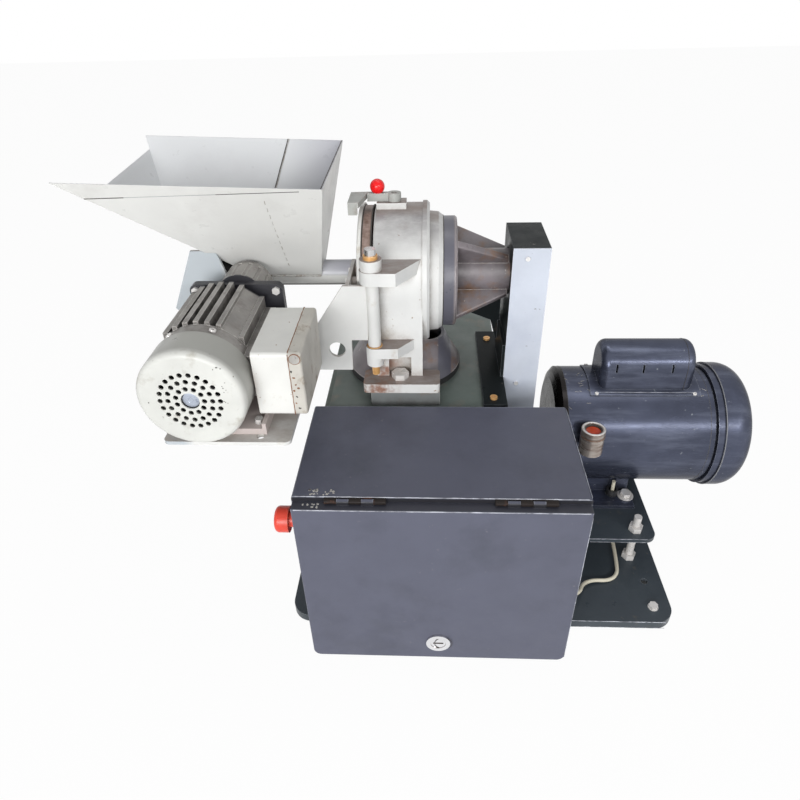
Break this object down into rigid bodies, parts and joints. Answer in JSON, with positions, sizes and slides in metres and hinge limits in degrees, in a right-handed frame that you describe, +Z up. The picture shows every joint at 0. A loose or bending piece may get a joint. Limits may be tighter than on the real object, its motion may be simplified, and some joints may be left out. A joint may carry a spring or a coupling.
{
  "type": "laboratory disc mill",
  "caption": "Bench disc mill with belt-driven grinding head, swing-out auger feeder and hopper, control box with hinged door, emergency stop and adjustable motor on a steel base",
  "frame": {"origin": "centre of the whole machine's footprint box, on the bench surface under the rubber feet", "axes": "+X along the spindle from the feed hopper towards the main motor, +Y away from the operator, +Z up"},
  "size_m": [0.804, 0.4562, 0.5342],
  "materials": {
    "belt": "fabric-backed belt",
    "black_plastic": "moulded",
    "box_paint": "textured slate-grey powder coat",
    "brass": "turned brass",
    "can_paint": "glossy dark blue-grey enamel",
    "chrome": "polished",
    "cover_paint": "light steel-blue paint",
    "cowl_paint": "cream-grey enamel",
    "cream_cable": "cream sheath",
    "dark_plate": "semi-gloss powder coat",
    "disc_iron": "machined wear-resistant casting",
    "feeder_paint": "light grey enamel, chipped",
    "fin_grey": "dark grey enamel with dirt",
    "grey_plastic": "moulded",
    "guard_paint": "near-black green enamel",
    "hopper_paint": "light grey enamel, worn",
    "lid_paint": "tan-grey enamel, chipped",
    "mill_paint": "light warm-grey hammered paint, dirty",
    "motor_paint": "glossy dark blue-grey enamel",
    "orange_plastic": "glossy orange-red",
    "purple_cast": "purple-grey painted casting",
    "red_plastic": "glossy red",
    "rubber": "matt black rubber",
    "rusty": "brown, rusty machined iron",
    "stand_paint": "grey-green paint",
    "steel": "ground steel",
    "zinc": "zinc plated"
  },
  "bodies": {
    "frame": {"base_plate": "dark_plate", "rubber_feet": "rubber", "stand_frame": "stand_paint", "table_top": "dark_plate", "box_shell": "box_paint", "mounting_panel": "zinc", "control_gear": "grey_plastic", "door_hinges": "box_paint", "estop_body": "black_plastic", "cable_glands": "black_plastic", "motor_lead": "cream_cable", "motor_plate": "dark_plate", "jack_studs": "zinc", "jack_nuts": "zinc", "motor_shell": "motor_paint", "end_bells": "motor_paint", "fan_cover": "motor_paint", "bearings": "steel", "capacitor_cover": "can_paint", "reset_collar": "chrome", "drive_belt": "belt", "belt_guard": "guard_paint", "guard_cover": "cover_paint", "guard_bracket": "dark_plate", "mill_housing": "mill_paint", "pedestals": "mill_paint", "outlet_hood": "purple_cast", "hood_rim": "rubber", "bearing_housing": "purple_cast", "hinge_pin": "steel", "hinge_bushes": "brass", "hex_bolts": "zinc", "pan_screws": "brass"},
    "box_lid": {"box_door": "box_paint", "door_seal": "rubber"},
    "lock": {"cam_lock": "chrome"},
    "stop_button": {"estop_button": "orange_plastic"},
    "reset": {"reset_button": "orange_plastic"},
    "rotor": {"motor_rotor": "steel", "motor_fan": "black_plastic", "motor_pulley": "disc_iron"},
    "spindle": {"spindle_shaft": "steel", "rotating_disc": "disc_iron", "spindle_pulley": "disc_iron"},
    "latch": {"latch_arm": "mill_paint", "ball_knob": "red_plastic"},
    "feeder": {"mill_door": "feeder_paint", "door_ring": "rusty", "fixed_disc": "disc_iron", "feeder_bracket": "feeder_paint", "hopper": "hopper_paint", "bevel_housing": "fin_grey", "gear_head": "fin_grey", "gear_motor_body": "fin_grey", "gear_motor_cowl": "cowl_paint", "terminal_box": "feeder_paint", "terminal_lid": "lid_paint", "feeder_bolts": "zinc"},
    "screw": {"auger": "steel"},
    "small_fan": {"gear_motor_fan": "black_plastic"}
  },
  "joints": [
    {"name": "feeder_swing", "type": "hinge", "parent": "frame", "child": "feeder", "pos_m": [-0.084, -0.03585, 0.393], "axis": [0, 0, 1], "range_deg": [0, 105]},
    {"name": "latch_turn", "type": "hinge", "parent": "frame", "child": "latch", "pos_m": [-0.062, 0.05815, 0.4815], "axis": [0, 0, 1], "range_deg": [0, 90]},
    {"name": "box_door_swing", "type": "hinge", "parent": "frame", "child": "box_lid", "pos_m": [-0.009, -0.21515, 0.267], "axis": [-1, 0, 0], "range_deg": [0, 110]},
    {"name": "lock_turn", "type": "hinge", "parent": "box_lid", "child": "lock", "pos_m": [-0.009, -0.22185, 0.053], "axis": [0, 1, 0], "range_deg": [0, 90]},
    {"name": "stop_press", "type": "slide", "parent": "frame", "child": "stop_button", "axis": [1, 0, 0], "range_m": [0, 0.004], "stiffness_N_per_m": 800, "springref_m": -0.002},
    {"name": "reset_press", "type": "slide", "parent": "frame", "child": "reset", "axis": [0, 0, -1], "range_m": [0, 0.003], "stiffness_N_per_m": 500, "springref_m": -0.002},
    {"name": "rotor_spin", "type": "hinge", "parent": "frame", "child": "rotor", "pos_m": [0.252, 0.06015, 0.1619], "axis": [1, 0, 0], "continuous": true},
    {"name": "spindle_spin", "type": "hinge", "parent": "frame", "child": "spindle", "pos_m": [0.041, 0.06015, 0.393], "axis": [1, 0, 0], "continuous": true},
    {"name": "auger_spin", "type": "hinge", "parent": "feeder", "child": "screw", "pos_m": [-0.159, 0.06015, 0.393], "axis": [1, 0, 0], "continuous": true},
    {"name": "feeder_fan_spin", "type": "hinge", "parent": "feeder", "child": "small_fan", "pos_m": [-0.2455, -0.16185, 0.372], "axis": [0, 1, 0], "continuous": true}
  ],
  "couplings": [
    {"joint": "spindle_spin", "follows": "rotor_spin", "ratio": 1.129},
    {"joint": "auger_spin", "follows": "feeder_fan_spin", "ratio": 0.03333}
  ]
}
